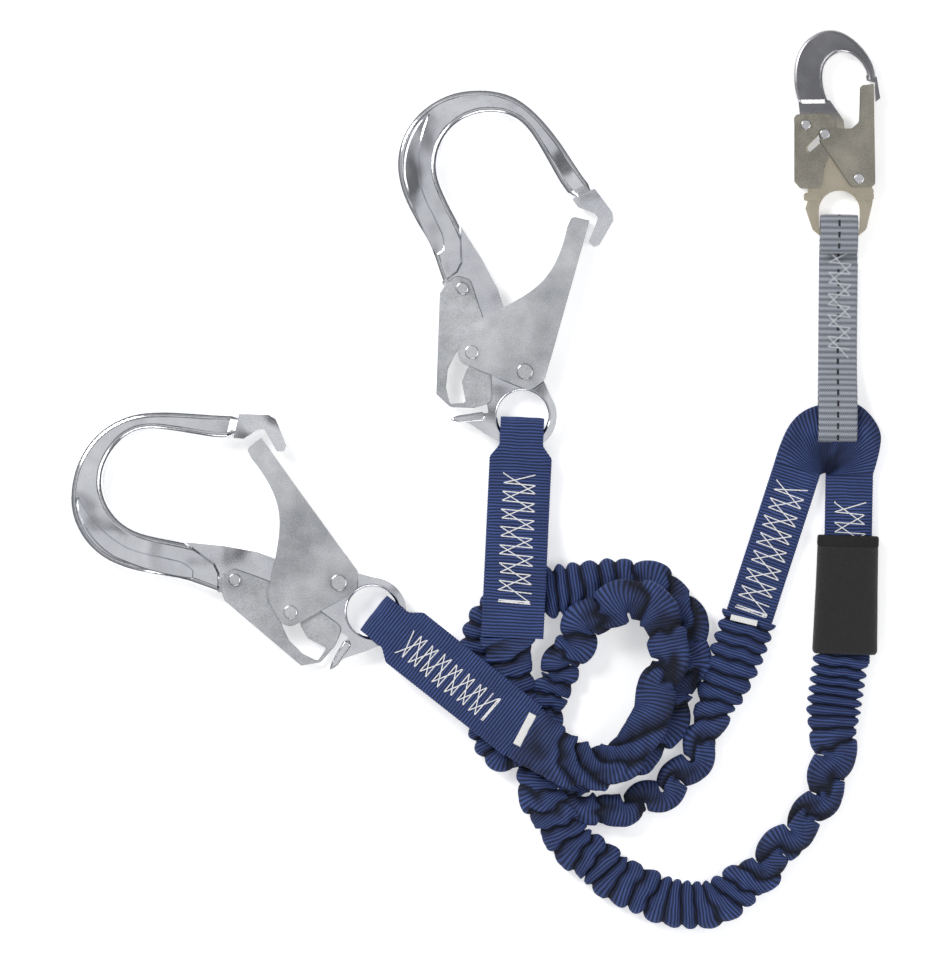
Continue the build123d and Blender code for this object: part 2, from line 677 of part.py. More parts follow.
upper_leg_route = [
    (23.1, -168.3, 19.6), (24.4, -181.0, 14.2), (22.8, -197.5, 9.0), (16.5, -211.5, leg_z),
    (4.5, -220.5, leg_z), (-7.5, -216.5, leg_z), (-14.0, -203.0, leg_z), (-15.0, -187.0, leg_z),
    (-12.7, -169.0, leg_z),
    (-5.9, -149.5, leg_z), (10.4, -135.9, leg_z), (41.6, -127.4, leg_z), (80.6, -121.5, leg_z),
    (113.1, -119.0, leg_z), (133.9, -136.5, leg_z), (140.4, -164.5, leg_z), (131.0, -194.0, leg_z),
    (121.0, -221.0, leg_z), (101.4, -238.6, leg_z), (80.0, -241.5, leg_z), (66.0, -246.5, leg_z),
    (62.5, -260.0, leg_z), (76.0, -271.0, leg_z), (103.4, -265.5, leg_z), (126.8, -254.8, leg_z),
    (146.0, -232.1, leg_z), (152.6, -205.0, leg_z), (168.1, -173.4, leg_z), (177.9, -143.0, leg_z),
]
lower_leg_route = [
    (31.0, -216.8, over_z), (47.5, -229.8, over_z), (67.5, -240.5, over_z), (90.0, -239.0, over_z),
    (107.9, -223.0, over_z), (116.4, -195.0, over_z), (126.4, -165.0, over_z),
    (123.5, -142.0, over_z), (107.0, -131.3, over_z), (86.0, -134.0, over_z), (68.6, -150.0, 15.5),
    (56.0, -173.0, leg_z), (48.0, -195.0, leg_z), (41.0, -218.5, leg_z), (38.4, -243.8, leg_z),
    (46.8, -269.8, leg_z), (67.6, -295.8, leg_z), (104.0, -320.5, leg_z), (145.6, -331.0, leg_z),
    (176.0, -317.0, leg_z), (200.9, -291.2, leg_z), (224.9, -263.3, leg_z), (235.0, -231.0, leg_z),
    (240.3, -201.0, leg_z), (240.8, -171.5, leg_z),
]


# ---------------------------------------------------------------- the lanyard
make_rebar_hook("upper", upper_eye, upper_angle)
make_rebar_hook("lower", lower_eye, lower_angle)
make_snap_hook()
make_eye_strap(
    "upper_eye_strap", upper_eye, upper_angle + 169.2,
    [(16.0, 0.1), (24.0, 1.0), (50.0, 7.0), (70.0, 9.0), (93.0, 17.2), (153.6, 17.0)],
    [(16.0, 19.1), (25.0, 18.2), (50.0, 12.6), (68.0, 14.6), (91.0, 22.6), (153.6, 22.4)],
    [(16.5, 1.8), (24.0, 2.9), (46.0, 9.7), (25.0, 16.4), (16.0, 17.4)],
)
make_eye_strap(
    "lower_eye_strap", lower_eye, lower_angle + 172.3,
    [(18.0, 0.1), (23.0, 2.6), (48.0, 17.5), (84.0, 22.6), (124.5, 22.5)],
    [(16.0, 19.1), (22.0, 19.9), (48.0, 23.4), (84.0, 28.0), (124.5, 27.9)],
    [(17.4, 1.8), (21.5, 4.0), (44.0, 19.7), (22.0, 18.2), (16.0, 17.4)],
)
make_connector()
make_top_strap("left_top_strap", (210.6, -42.3), (178.0, -142.8))
make_top_strap("right_top_strap", (243.1, -48.8), (240.9, -171.3))
make_bight()
make_label_cover((242.4, -96.2), -91.0)
make_leg("upper", upper_leg_route)
make_leg("lower", lower_leg_route)
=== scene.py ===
"""A twin-leg shock absorbing lanyard laid flat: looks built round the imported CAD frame."""

import math

import bpy
import numpy as np
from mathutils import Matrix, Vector


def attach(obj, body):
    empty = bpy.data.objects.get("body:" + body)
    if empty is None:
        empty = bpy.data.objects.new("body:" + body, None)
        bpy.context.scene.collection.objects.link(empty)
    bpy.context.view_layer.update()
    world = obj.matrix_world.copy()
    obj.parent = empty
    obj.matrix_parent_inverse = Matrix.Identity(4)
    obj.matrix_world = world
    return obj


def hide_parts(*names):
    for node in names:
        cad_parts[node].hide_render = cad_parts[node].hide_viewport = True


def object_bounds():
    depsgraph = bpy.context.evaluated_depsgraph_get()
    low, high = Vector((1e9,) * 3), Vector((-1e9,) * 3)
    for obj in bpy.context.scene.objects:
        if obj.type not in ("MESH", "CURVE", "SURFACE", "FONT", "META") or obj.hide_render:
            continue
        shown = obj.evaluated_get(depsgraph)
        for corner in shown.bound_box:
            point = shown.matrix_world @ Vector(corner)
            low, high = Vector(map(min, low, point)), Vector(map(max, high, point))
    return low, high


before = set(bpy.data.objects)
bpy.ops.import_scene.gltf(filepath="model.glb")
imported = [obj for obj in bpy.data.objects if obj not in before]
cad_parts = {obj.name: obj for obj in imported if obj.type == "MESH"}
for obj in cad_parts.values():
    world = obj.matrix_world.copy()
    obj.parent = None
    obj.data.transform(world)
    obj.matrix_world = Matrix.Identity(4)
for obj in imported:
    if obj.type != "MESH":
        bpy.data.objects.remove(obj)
cad_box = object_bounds()
MM = 0.001
UP = np.array((0.0, 0.0, 1.0))


# ---------------------------------------------------------------- camera, floor and light
def make_camera():
    """Straight down from far away, as the object was photographed."""
    low, high = np.array(cad_box[0]), np.array(cad_box[1])
    middle = (low + high) / 2
    off_middle = Vector((0.0, -0.0058, 0.0))
    view_height, distance, aim_height = 0.6253, 4.0, 0.010
    data = bpy.data.cameras.new("camera")
    data.sensor_fit = "VERTICAL"
    data.sensor_height = 24.0
    data.lens = data.sensor_height * distance / view_height
    data.clip_end = 100.0
    camera = bpy.data.objects.new("camera", data)
    camera.location = Vector((middle[0], middle[1], aim_height + distance)) + off_middle
    bpy.context.scene.collection.objects.link(camera)
    bpy.context.scene.camera = camera


# Brightness of the sky by height, from the horizon at 0 to straight up at 1: soft boxes and gaps.
SKY = ((0.25, 0.12), (0.42, 0.45), (0.58, 0.70), (0.70, 0.15), (0.80, 0.80), (0.90, 0.95),
       (0.940, 0.16), (0.968, 0.18), (0.986, 1.0))


LIGHTS_AIM = (0, -0.05, 0)


def make_light(name, location, size, energy):
    """One soft area light aimed at the object."""
    data = bpy.data.lights.new(name, "AREA")
    data.shape = "RECTANGLE"
    data.size, data.size_y = size
    data.energy = energy
    light = bpy.data.objects.new(name, data)
    light.location = location
    direction = Vector(LIGHTS_AIM) - Vector(location)
    light.rotation_euler = direction.to_track_quat("-Z", "Y").to_euler()
    bpy.context.scene.collection.objects.link(light)


def make_stage():
    """A pale floor, a soft sky that is darker towards the horizon, and three soft boxes."""
    horizon, zenith = (0.10, 0.10, 0.11, 1), (0.95, 0.96, 0.98, 1)
    tint, strength = (1.0, 1.01, 1.04), 0.72
    scene = bpy.context.scene
    scene.view_settings.view_transform = "Standard"
    world = bpy.data.worlds.new("studio")
    scene.world = world
    world.use_nodes = True
    tree = world.node_tree
    background = tree.nodes["Background"]
    coords = tree.nodes.new("ShaderNodeTexCoord")
    split = tree.nodes.new("ShaderNodeSeparateXYZ")
    ramp = tree.nodes.new("ShaderNodeValToRGB")
    tree.links.new(coords.outputs["Generated"], split.inputs[0])
    tree.links.new(split.outputs["Z"], ramp.inputs[0])
    tree.links.new(ramp.outputs[0], background.inputs["Color"])
    stops = ramp.color_ramp.elements
    stops[0].position, stops[0].color = 0.0, horizon
    stops[1].position, stops[1].color = 1.0, zenith
    for height, value in SKY:
        stop = stops.new(height)
        stop.color = (*(value * share for share in tint), 1)
    background.inputs["Strength"].default_value = strength
    make_light("key", location=(-1.1, 1.0, 1.5), size=(0.8, 0.8), energy=30.0)
    make_light("fill", location=(1.2, -0.3, 1.6), size=(0.9, 0.9), energy=9.0)
    make_light("low_rim", location=(0.2, -1.6, 0.7), size=(1.2, 0.4), energy=6.0)

    span, gap = 3.0, 0.0002
    mesh = bpy.data.meshes.new("floor")
    mesh.from_pydata(
        [(-span, -span, 0), (span, -span, 0), (span, span, 0), (-span, span, 0)], [], [(0, 1, 2, 3)]
    )
    floor = bpy.data.objects.new("floor", mesh)
    scene.collection.objects.link(floor)
    floor.data.materials.append(floor_material())
    floor.location.z = -gap


# ---------------------------------------------------------------- material helpers
class Shader:
    """A thin wrapper that keeps node-building short."""

    def __init__(self, name):
        self.material = bpy.data.materials.new(name)
        self.material.use_nodes = True
        self.tree = self.material.node_tree
        self.bsdf = self.tree.nodes["Principled BSDF"]

    def add(self, kind, **settings):
        """A node with its settings; inputs are given as in_NAME or in_INDEX."""
        node = self.tree.nodes.new("ShaderNode" + kind)
        for key, value in settings.items():
            if key.startswith("in_"):
                key = key[3:]
                socket = node.inputs[int(key)] if key.isdigit() else node.inputs[key]
                self.feed(socket, value)
            else:
                setattr(node, key, value)
        return node

    def feed(self, socket, value):
        """Links a node's output into a socket, or sets the socket's own value."""
        if isinstance(value, bpy.types.NodeSocket):
            self.tree.links.new(value, socket)
        elif isinstance(value, tuple) and len(value) == 3 and socket.type == "RGBA":
            socket.default_value = (*value, 1)
        else:
            socket.default_value = value

    def math(self, operation, a, b=0.0):
        return self.add("Math", operation=operation, in_0=a, in_1=b).outputs[0]

    def plus(self, a, b):
        return self.math("ADD", a, b)

    def minus(self, a, b):
        return self.math("SUBTRACT", a, b)

    def times(self, a, b):
        return self.math("MULTIPLY", a, b)

    def wave(self, value, pitch, operation="SINE"):
        """A sine or cosine of a distance."""
        return self.math(operation, self.times(value, math.tau / pitch))

    def weave(self):
        """The weave map: metres along and across the cloth."""
        split = self.add("SeparateXYZ", in_0=self.add("UVMap", uv_map="weave").outputs[0])
        return split.outputs["X"], split.outputs["Y"]

    def where(self):
        """The point's place on its piece, in metres."""
        return self.add("TexCoord").outputs["Object"]

    def noise(self, vector, scale, detail=4.0, rough=0.55):
        node = self.add(
            "TexNoise", in_Vector=vector, in_Scale=scale, in_Detail=detail, in_Roughness=rough
        )
        return node.outputs["Fac"]

    def mix(self, factor, first, second):
        """A colour between two colours."""
        node = self.add("Mix", data_type="RGBA")
        self.feed(node.inputs["Factor"], factor)
        self.feed(node.inputs[6], first)
        self.feed(node.inputs[7], second)
        return node.outputs[2]

    def remap(self, value, source, target=(0.0, 1.0)):
        """A value moved from one range to another, and kept inside it."""
        node = self.add("MapRange", clamp=True)
        for index, number in enumerate((value, *source, *target)):
            self.feed(node.inputs[index], number)
        return node.outputs[0]

    def bump(self, height, distance, under=None):
        node = self.add("Bump", in_Height=height, in_Distance=distance, in_Strength=1.0)
        if under is not None:
            self.feed(node.inputs["Normal"], under)
        return node.outputs[0]

    def finish(self, colour, roughness, normal=None, metallic=0.0):
        self.feed(self.bsdf.inputs["Base Color"], colour)
        self.feed(self.bsdf.inputs["Roughness"], roughness)
        self.bsdf.inputs["Metallic"].default_value = metallic
        if normal is not None:
            self.feed(self.bsdf.inputs["Normal"], normal)
        return self.material


def floor_material():
    """A pale, plain floor that glows a little, so that it stays white in soft light."""
    shader = Shader("pale_floor")
    pale, paler, glow = (0.90, 0.90, 0.90), (0.93, 0.93, 0.93), 0.42
    grain = shader.noise(shader.where(), scale=3.0)
    shader.bsdf.inputs["Emission Color"].default_value = (1, 1, 1, 1)
    shader.bsdf.inputs["Emission Strength"].default_value = glow
    return shader.finish(shader.mix(grain, pale, paler), roughness=0.9)


def woven_material(name, dark, light, rib, thread, rib_depth, sheen):
    """Ribbed webbing: ribs run across it; light and shade are painted onto its ribs, and shade into its
    folds.
    """
    shader = Shader(name)
    thread_share, fuzz_share, drift_share, painted_shade_share = 0.10, 0.35, 1.1, 0.95
    fold_shade = (0.0016, 0.0022, 0.0060)
    along, across = shader.weave()
    where = shader.where()
    unevenness = shader.minus(shader.noise(where, scale=60.0, detail=2.0), 0.5)
    drift = shader.times(unevenness, rib * drift_share)
    ribs = shader.math("MULTIPLY_ADD", shader.wave(shader.plus(along, drift), rib), 0.5)
    ribs.node.inputs[2].default_value = 0.5
    threads = shader.wave(across, thread)
    fuzz = shader.noise(where, scale=900.0, detail=3.0)
    patches = shader.noise(where, scale=38.0, detail=3.0)
    fine = shader.plus(shader.times(threads, thread_share), shader.times(fuzz, fuzz_share))
    height = shader.plus(fine, ribs)
    # Painted light and shade: the rib crests are painted towards light and the rib valleys towards dark;
    # the patches vary the tone at random.
    painted_crest_light = shader.remap(shader.plus(ribs, shader.times(fuzz, 0.5)), (0.25, 1.35))
    tone = shader.times(painted_crest_light, shader.remap(patches, (0.3, 0.7), (0.66, 1.0)))
    colour = shader.mix(tone, dark, light)
    # Painted shade: the stored fold depth mixes the colour towards a dark navy shade.
    painted_fold_shade = shader.add("Attribute", attribute_name="painted_fold_shade").outputs["Fac"]
    colour = shader.mix(shader.times(painted_fold_shade, painted_shade_share), colour, fold_shade)
    shader.bsdf.inputs["Sheen Weight"].default_value = sheen
    shader.bsdf.inputs["Sheen Roughness"].default_value = 0.45
    shader.bsdf.inputs["Sheen Tint"].default_value = (*light, 1)
    shader.bsdf.inputs["Specular IOR Level"].default_value = 0.35
    roughness = shader.remap(fuzz, (0.3, 0.7), (0.62, 0.82))
    return shader.finish(colour, roughness, shader.bump(height, rib_depth))


def grey_material():
    """Pale grey webbing: rows of slanted stitches across it, and a dashed black tracer."""
    shader = Shader("grey_webbing")
    row, slant, lean_share = 0.0038, 0.0014, 0.9
    dash, gap_share, tracer_middle, tracer_edge = 0.0073, 0.48, 0.0003, (0.0006, 0.0009)
    painted_hollow_shade, painted_crest_light, black = (0.095, 0.105, 0.135), (0.43, 0.46, 0.51), (0.010, 0.010, 0.014)
    along, across = shader.weave()
    where = shader.where()
    in_row = shader.math("FRACT", shader.math("DIVIDE", along, row))
    turn = shader.math("ABSOLUTE", shader.minus(in_row, 0.5))
    slants = shader.wave(shader.plus(across, shader.times(turn, row * lean_share)), slant)
    rows = shader.wave(along, row, "COSINE")
    fuzz = shader.noise(where, scale=1000.0, detail=3.0)
    height = shader.plus(shader.times(slants, 0.35), shader.times(rows, 0.5))
    height = shader.plus(height, shader.times(fuzz, 0.5))
    # Painted light and shade: the weave's hollows are painted dark and its crests light.
    colour = shader.mix(shader.remap(height, (-0.5, 1.1)), painted_hollow_shade, painted_crest_light)
    waver = shader.times(shader.noise(where, scale=180.0, detail=2.0), 0.0006)
    off_tracer = shader.math("ABSOLUTE", shader.minus(shader.plus(across, waver), tracer_middle))
    tracer = shader.remap(off_tracer, tracer_edge, (1.0, 0.0))
    in_dash = shader.math("FRACT", shader.math("DIVIDE", along, dash))
    dashes = shader.math("GREATER_THAN", in_dash, gap_share)
    colour = shader.mix(shader.times(tracer, dashes), colour, black)
    shader.bsdf.inputs["Sheen Weight"].default_value = 0.2
    shader.bsdf.inputs["Specular IOR Level"].default_value = 0.4
    return shader.finish(colour, 0.62, shader.bump(height, 0.00035))


def cover_material():
    """Black twill with a fine diagonal."""
    shader = Shader("black_twill")
    twill, fuzz_share = 0.0011, 0.6
    along, across = shader.weave()
    lines = shader.wave(shader.plus(along, across), twill)
    cells = shader.wave(shader.minus(along, across), twill)
    fuzz = shader.noise(shader.where(), scale=1200.0, detail=3.0)
    height = shader.plus(shader.math("MAXIMUM", lines, cells), shader.times(fuzz, fuzz_share))
    # Painted light and shade: the twill's raised lines are painted lighter and the hollows between them
    # darker.
    tone = shader.remap(height, (-0.6, 1.6))
    colour = shader.mix(tone, (0.003, 0.003, 0.003), (0.014, 0.014, 0.015))
    shader.bsdf.inputs["Sheen Weight"].default_value = 0.25
    shader.bsdf.inputs["Specular IOR Level"].default_value = 0.3
    return shader.finish(colour, 0.74, shader.bump(height, 0.00030))


def steel_material(name, light, dark, rough, grain, grain_depth, swell=0.0, speckle=0.0):
    """Polished or plated steel: slow swells in the surface, cloudy gloss, grain and scratches."""
    shader = Shader(name)
    scratch_scale, scratch_turn, scratch_share = (60.0, 900.0, 60.0), (0, 0, 0.5), 0.3
    where = shader.where()
    clouds = shader.noise(where, scale=34.0, detail=4.0)
    fine = shader.noise(where, scale=grain, detail=3.0, rough=0.7)
    stretched = shader.add("Mapping", in_Vector=where, in_Scale=scratch_scale)
    stretched.inputs["Rotation"].default_value = scratch_turn
    scratches = shader.noise(stretched.outputs[0], scale=1.0, detail=2.0)
    mottled = shader.plus(shader.times(fine, 0.5), shader.times(clouds, 0.5))
    colour = shader.mix(shader.remap(mottled, (0.36, 0.64 + speckle)), dark, light)
    roughness = shader.remap(mottled, (0.3, 0.7), rough)
    swells = None
    if swell:
        swells = shader.bump(shader.noise(where, scale=17.0, detail=1.5, rough=0.4), swell)
    height = shader.plus(fine, shader.times(scratches, scratch_share))
    return shader.finish(colour, roughness, shader.bump(height, grain_depth, swells), metallic=1.0)


def snap_forging_material(neck, head):
    """The snap hook's body: a dark bow with highlights painted bright on its rims, over a straw-tinted
    shank and eye.
    """
    shader = Shader("snap_forging")
    straw, straw_light = (0.46, 0.41, 0.31), (0.66, 0.60, 0.48)
    bow, bow_light, painted_rim_highlight = (0.15, 0.15, 0.16), (0.34, 0.34, 0.36), (0.66, 0.66, 0.67)
    where = shader.where()
    offset = shader.add("VectorMath", operation="SUBTRACT", in_0=where)
    offset.inputs[1].default_value = tuple(neck)
    along = shader.add("VectorMath", operation="DOT_PRODUCT", in_0=offset.outputs[0])
    along.inputs[1].default_value = tuple(unit(head - neck))
    past_neck = shader.remap(along.outputs["Value"], (0.0, float(np.linalg.norm(head - neck))))
    clouds = shader.noise(where, scale=45.0, detail=5.0)
    fine = shader.noise(where, scale=1500.0, detail=3.0)
    # Painted highlight: where the surface tilts away from straight up, on the rims, the colour is
    # painted towards a bright reflection.
    normal = shader.add("NewGeometry").outputs["Normal"]
    facing = shader.add("SeparateXYZ", in_0=normal).outputs["Z"]
    painted_rim_share = shader.remap(shader.math("ABSOLUTE", facing), (0.80, 0.985), (1.0, 0.0))
    dark = shader.mix(painted_rim_share, shader.mix(clouds, bow, bow_light), painted_rim_highlight)
    colour = shader.mix(past_neck, shader.mix(clouds, straw, straw_light), dark)
    roughness = shader.remap(clouds, (0.3, 0.7), (0.20, 0.36))
    return shader.finish(colour, roughness, shader.bump(fine, 0.00004), metallic=1.0)


def plain_material(name, low, high, roughness, scale, depth):
    """Thread and core braid: a fine mottled fibre."""
    shader = Shader(name)
    fibre = shader.noise(shader.where(), scale, detail=3.0)
    return shader.finish(shader.mix(fibre, low, high), roughness, shader.bump(fibre, depth))


NAVY_RIB = 0.00205
# Painted light and shade: light is the colour painted on the rib crests, dark the shade painted in the
# rib valleys.
NAVY = {"dark": (0.0070, 0.0110, 0.040), "light": (0.062, 0.108, 0.320), "thread": 0.0008}
THREAD = {"roughness": 0.6, "scale": 2500.0, "depth": 0.0001}
MATERIALS = {
    "navy_webbing": woven_material(
        "navy_webbing", **NAVY, rib=NAVY_RIB, rib_depth=0.00042, sheen=0.35
    ),
    "navy_sheath": woven_material("navy_sheath", **NAVY, rib=0.0023, rib_depth=0.00045, sheen=0.40),
    "grey_webbing": grey_material(),
    "black_cover": cover_material(),
    # Its light and dark are painted on the rib crests and in the rib valleys, as light and shade.
    "black_binding": woven_material(
        "black_binding", dark=(0.004, 0.004, 0.004), light=(0.030, 0.030, 0.032), rib=0.0012,
        thread=0.0009, rib_depth=0.0002, sheen=0.2,
    ),
    "forged_steel": steel_material(
        "forged_steel", light=(0.90, 0.91, 0.93), dark=(0.60, 0.61, 0.65), rough=(0.08, 0.17),
        grain=1500.0, grain_depth=0.00002, swell=0.0095,
    ),
    "plated_steel": steel_material(
        "plated_steel", light=(0.80, 0.81, 0.83), dark=(0.34, 0.35, 0.37), rough=(0.34, 0.50),
        grain=1500.0, grain_depth=0.00012, swell=0.004, speckle=0.06,
    ),
    "rivet_steel": steel_material(
        "rivet_steel", light=(0.88, 0.88, 0.89), dark=(0.55, 0.55, 0.57), rough=(0.14, 0.26),
        grain=1600.0, grain_depth=0.00002,
    ),
    "snap_plate": steel_material(
        "snap_plate", light=(0.50, 0.47, 0.40), dark=(0.22, 0.21, 0.175), rough=(0.32, 0.50),
        grain=1500.0, grain_depth=0.00010, swell=0.003, speckle=0.06,
    ),
    "white_thread": plain_material("white_thread", (0.70, 0.70, 0.72), (0.92, 0.92, 0.93), **THREAD),
    "grey_thread": plain_material("grey_thread", (0.48, 0.50, 0.53), (0.70, 0.72, 0.75), **THREAD),
    "white_core": plain_material(
        "white_core", (0.62, 0.61, 0.60), (0.90, 0.90, 0.88), roughness=0.8, scale=1800.0,
        depth=0.0003,
    ),
}


# ---------------------------------------------------------------- mesh helpers
def unit(vectors):
    """Each row made one long."""
    return vectors / np.maximum(np.linalg.norm(vectors, axis=-1, keepdims=True), 1e-12)


def add_piece(name, mesh, material, body, replaces=()):
    """Puts a mesh in the scene as a piece of the object, riding on a body of the frame."""
    piece = bpy.data.objects.new(name, mesh)
    bpy.context.scene.collection.objects.link(piece)
    mesh.materials.append(MATERIALS[material])
    mesh.polygons.foreach_set("use_smooth", np.ones(len(mesh.polygons), bool))
    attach(piece, body)
    if replaces:
        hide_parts(*replaces)
    return piece


def set_weave(mesh, along, across):
    """Finishes a mesh with the weave map: each vertex's metres along and across the cloth."""
    layer = mesh.uv_layers.new(name="weave")
    corners = np.empty(len(mesh.loops), int)
    mesh.loops.foreach_get("vertex_index", corners)
    flat = np.stack((along, across), axis=-1).reshape(-1, 2)
    layer.data.foreach_set("uv", flat[corners].astype(np.float32).ravel())
    mesh.validate()
    mesh.update()


def skin(name, rings, along, across):
    """A closed tube through rings of points; along is given for each ring or for each point."""
    count, points = rings.shape[:2]
    faces = []
    for i in range(count - 1):
        for j in range(points):
            k = (j + 1) % points
            near, far = i * points, (i + 1) * points
            faces.append((near + j, near + k, far + k, far + j))
    faces.append(tuple(range(points - 1, -1, -1)))
    faces.append(tuple((count - 1) * points + j for j in range(points)))
    mesh = bpy.data.meshes.new(name)
    mesh.from_pydata(rings.reshape(-1, 3).tolist(), [], faces)
    if along.ndim == 1:
        along = np.broadcast_to(along[:, None], (count, points))
    set_weave(mesh, along, across)
    return mesh


def rounded_section(points, exponents):
    """A closed section from -1 to 1 both ways; the smaller its exponents, the squarer it is."""
    turn = np.linspace(0, math.tau, points, endpoint=False)
    c, s = np.cos(turn), np.sin(turn)
    return np.sign(c) * np.abs(c) ** exponents[0], np.sign(s) * np.abs(s) ** exponents[1]


def smooth(values, passes):
    """A light moving average that keeps the ends."""
    values = values.copy()
    for _ in range(passes):
        values[1:-1] = (values[:-2] + 2 * values[1:-1] + values[2:]) / 4
    return values


def resample(points, step):
    """Evenly spaced points along a line of points, and their distances."""
    points = np.asarray(points, float)
    gaps = np.linalg.norm(np.diff(points, axis=0), axis=1)
    reach = np.concatenate(([0], np.cumsum(gaps)))
    wanted = np.linspace(0, reach[-1], max(3, int(reach[-1] / step)))
    line = np.stack([np.interp(wanted, reach, points[:, i]) for i in range(3)], axis=1)
    return line, wanted


def spline_line(points):
    """The smooth line of a NURBS spline with these control points."""
    data = bpy.data.curves.new("route", "CURVE")
    data.dimensions = "3D"
    data.resolution_u = 16
    spline = data.splines.new("NURBS")
    spline.points.add(len(points) - 1)
    for point, place in zip(spline.points, points):
        point.co = (*place, 1)
    spline.order_u = 3
    spline.use_endpoint_u = True
    holder = bpy.data.objects.new("route", data)
    mesh = bpy.data.meshes.new_from_object(holder)
    line = np.array([v.co for v in mesh.vertices])
    bpy.data.objects.remove(holder)
    bpy.data.meshes.remove(mesh)
    bpy.data.curves.remove(data)
    return line


def wander(rng, length, pitch, amount):
    """A smooth random function of the distance, as an array sampler."""
    knots = np.arange(-2, length / pitch + 3) * pitch
    values = rng.uniform(-amount, amount, len(knots))

    def sample(distance):
        place = np.clip((distance - knots[0]) / pitch, 0, len(knots) - 1.001)
        index = place.astype(int)
        blend = place - index
        blend = blend * blend * (3 - 2 * blend)
        return values[index] * (1 - blend) + values[index + 1] * blend

    return sample


# ---------------------------------------------------------------- elastic legs
def place(x, y, z):
    """A route point in millimetres of the layout, as metres of the row's frame."""
    return ((x + 0.5) * MM, (y - 3.4) * MM, z * MM)


class Pleats:
    """How a sheath is gathered at each distance: numbers given at stations and blended between."""

    COLUMNS = ("station", "half", "pitch", "depth", "lean", "sway", "sway_pitch", "tuck", "height")

    def __init__(self, stations):
        self.stations = dict(zip(self.COLUMNS, np.array(stations, float).T))

    def __call__(self, column, distance):
        return np.interp(distance / MM, self.stations["station"], self.stations[column])


